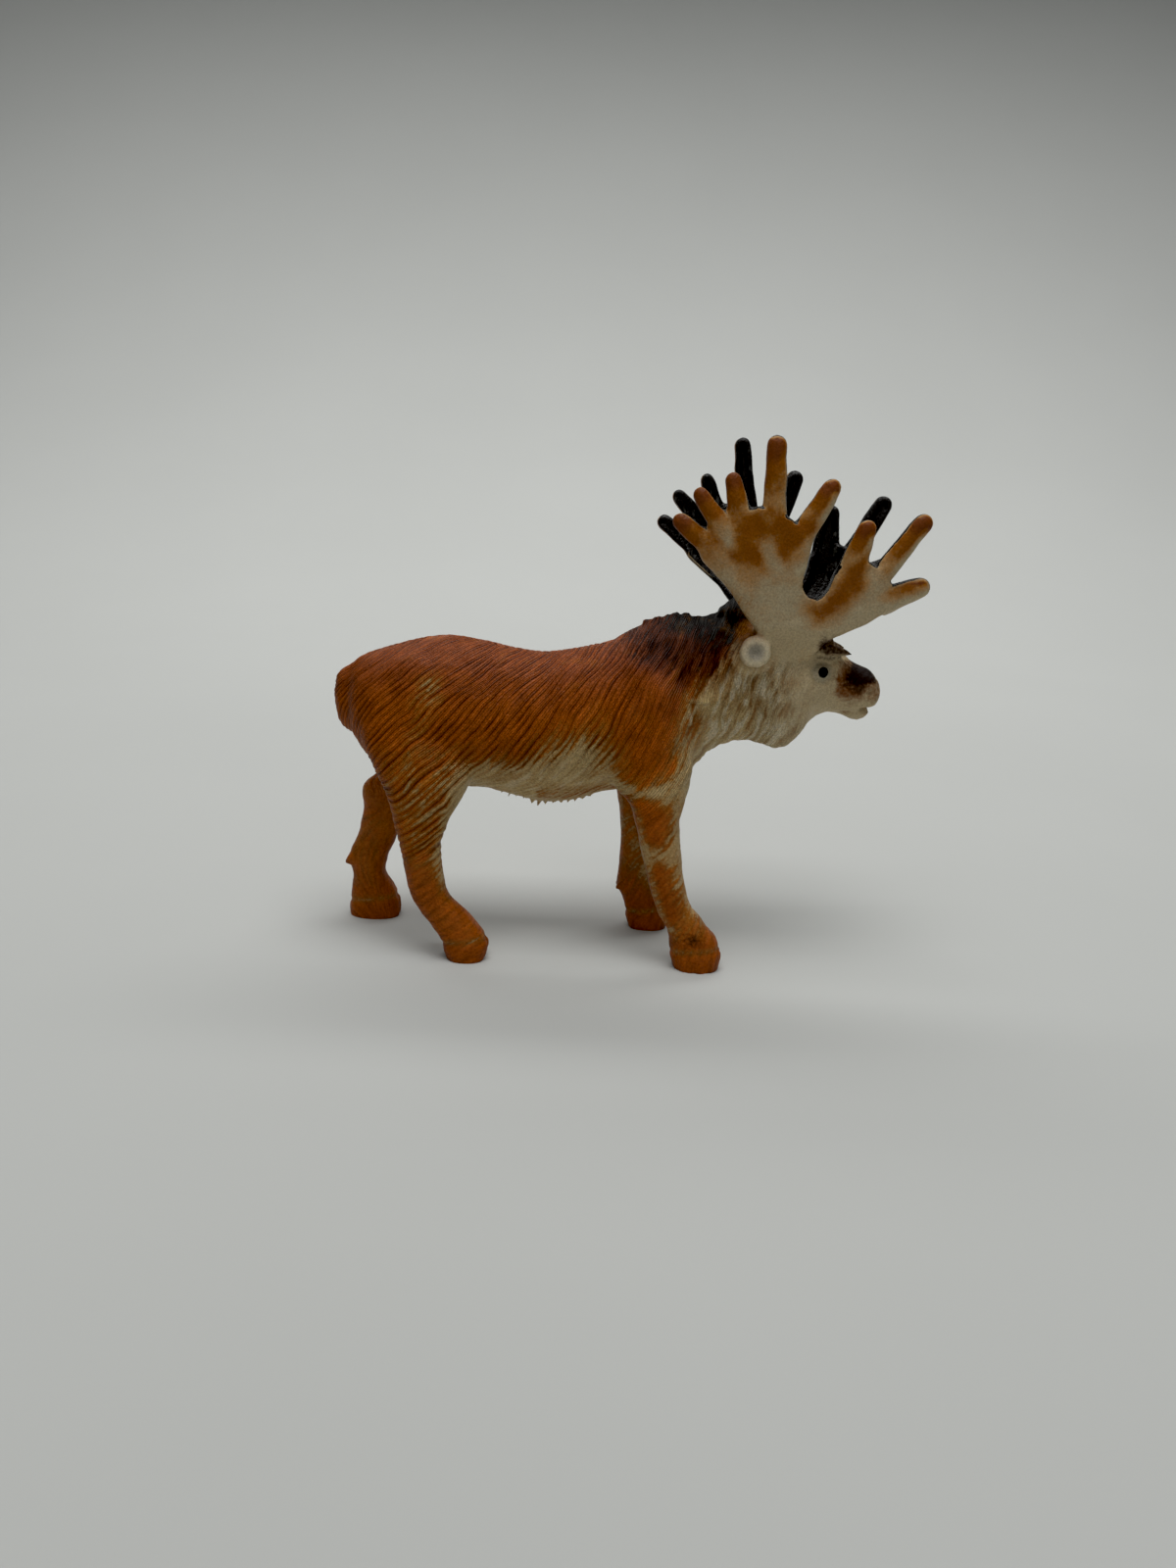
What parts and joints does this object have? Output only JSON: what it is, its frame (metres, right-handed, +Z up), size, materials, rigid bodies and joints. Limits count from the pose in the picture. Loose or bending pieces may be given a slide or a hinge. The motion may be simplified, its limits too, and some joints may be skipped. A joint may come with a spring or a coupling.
{
  "type": "moose figurine",
  "caption": "Small moulded plastic moose standing on its hooves, with broad palmate antlers and combed fur, for a shelf, diorama or toy box.",
  "frame": {"origin": "centre of the figure's bounding box, on the floor that its hooves stand on", "axes": "+X towards the nose, +Z up, +Y to the figure's left"},
  "size_m": [0.056, 0.0152, 0.0514],
  "materials": {
    "painted_plastic": "soft matt vinyl, cream where bare, with orange-brown, maroon and black spray paint"
  },
  "bodies": {
    "root": {"moose": "painted_plastic"}
  },
  "joints": []
}
